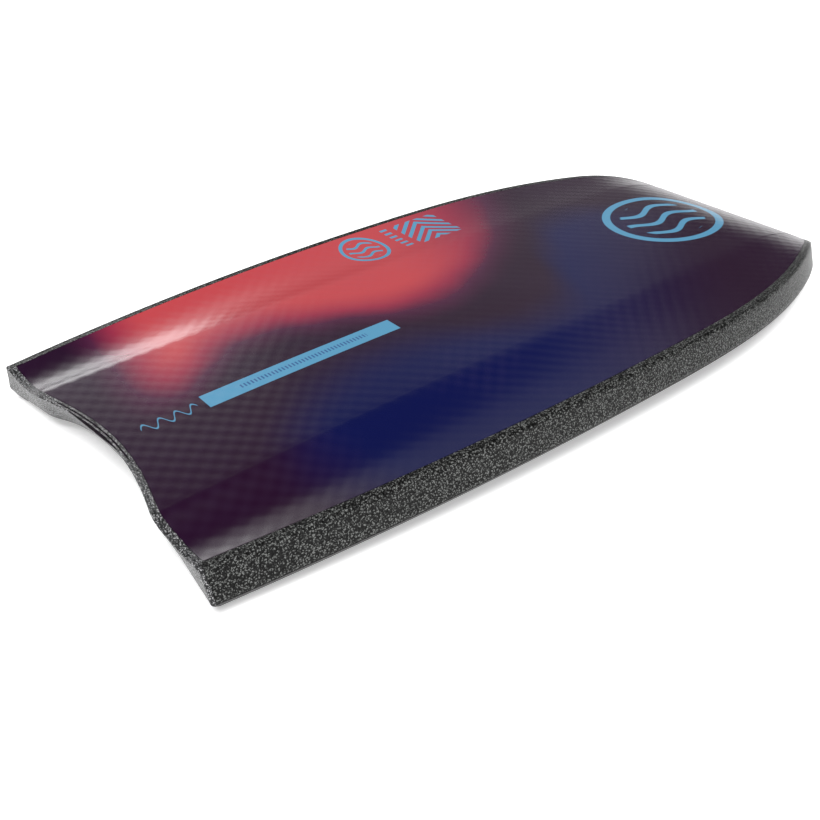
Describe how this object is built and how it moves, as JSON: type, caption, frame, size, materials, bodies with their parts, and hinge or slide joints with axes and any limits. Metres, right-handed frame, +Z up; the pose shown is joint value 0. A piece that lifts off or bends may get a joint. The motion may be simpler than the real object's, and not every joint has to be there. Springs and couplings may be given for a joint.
{
  "type": "bodyboard",
  "caption": "Flat foam wave-riding board with a crescent tail, a squared nose that curves away from the water, laminated foam rails and a hard channelled bottom skin.",
  "frame": {"origin": "on the floor under the middle of the board's box", "axes": "+X from the tail to the nose, +Y to the left side, +Z up out of the slick bottom; the board lies deck down on its tail and nose edges"},
  "size_m": [1.0657, 0.537, 0.0694],
  "materials": {
    "core_foam": "closed-cell foam",
    "stringer": "fibre tube",
    "plug": "matt",
    "slick_print": "satin gloss printed skin",
    "mesh_sheet": "woven mesh in clear film",
    "deck_foam": "fine pebbled foam skin",
    "rail_foam": "pebbled foam with a light sheen",
    "chine_foam": "pebbled foam",
    "end_foam": "pebbled foam"
  },
  "bodies": {
    "root": {"core": "core_foam", "stringer_tube": "stringer", "stringer_plug_tail": "plug", "stringer_plug_nose": "plug", "slick_skin": "slick_print", "slick_mesh": "mesh_sheet", "deck_skin": "deck_foam", "rail_outer_left": "rail_foam", "rail_outer_right": "rail_foam", "rail_inner_left": "rail_foam", "rail_inner_right": "rail_foam", "chine_left": "chine_foam", "chine_right": "chine_foam", "tail_strip_inner": "end_foam", "tail_strip_outer": "end_foam", "nose_strip_inner": "end_foam", "nose_strip_outer": "end_foam"}
  },
  "joints": []
}
